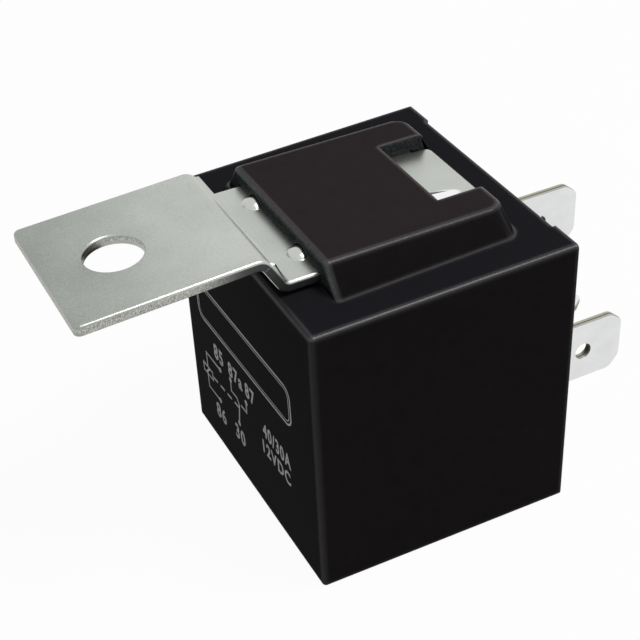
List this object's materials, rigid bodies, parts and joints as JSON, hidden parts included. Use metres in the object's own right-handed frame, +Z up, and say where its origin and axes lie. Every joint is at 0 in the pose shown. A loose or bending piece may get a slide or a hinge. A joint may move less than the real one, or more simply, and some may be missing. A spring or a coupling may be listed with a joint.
{
  "type": "automotive relay",
  "caption": "Changeover relay in a square black cover, with a zinc-plated snap-in mounting bracket, blade terminals, and a coil, hinged armature and contacts inside.",
  "frame": {"origin": "centre of the flat side of the cover that the relay lies on, halfway along the cover and between its sides", "axes": "+X along the blades away from the cover, +Z up through the bracket side, +Y across the relay"},
  "size_m": [0.0519, 0.0286, 0.0322],
  "materials": {
    "cover_plastic": "satin moulded black",
    "base_plastic": "matt moulded black",
    "zinc_plate": "satin zinc plate, bright on the rubbed edges",
    "tin_plate": "tin plated, satin",
    "soft_iron": "zinc plated soft iron",
    "bobbin_plastic": "natural nylon",
    "enamelled_copper": "enamelled wire, glossy",
    "spring_copper": "bright copper alloy strip",
    "contact_silver": "silver alloy, satin",
    "solder": "bright solder",
    "rivet_steel": "plated steel",
    "label_ink": "pale grey pad print"
  },
  "bodies": {
    "relay": {"cover": "cover_plastic", "base": "base_plastic", "bracket": "zinc_plate", "terminal_30": "tin_plate", "terminal_85": "tin_plate", "terminal_86": "tin_plate", "terminal_87": "tin_plate", "terminal_87a": "tin_plate", "yoke": "soft_iron", "core": "soft_iron", "bobbin": "bobbin_plastic", "winding": "enamelled_copper", "coil_lead_85": "enamelled_copper", "coil_lead_86": "enamelled_copper", "solder_85": "solder", "solder_86": "solder", "yoke_rivets": "rivet_steel", "make_contact": "contact_silver", "break_contact": "contact_silver"},
    "armature_unit": {"armature": "soft_iron", "contact_spring": "spring_copper", "armature_rivets": "rivet_steel", "moving_contact": "contact_silver"}
  },
  "joints": [
    {"name": "armature_pull", "type": "hinge", "parent": "relay", "child": "armature_unit", "pos_m": [-0.00595, 0, 0.0244], "axis": [0, -1, 0], "range_deg": [0, 3.5], "stiffness_Nm_per_rad": 0.05, "springref_deg": -6.88, "deforming": ["contact_spring"]}
  ]
}
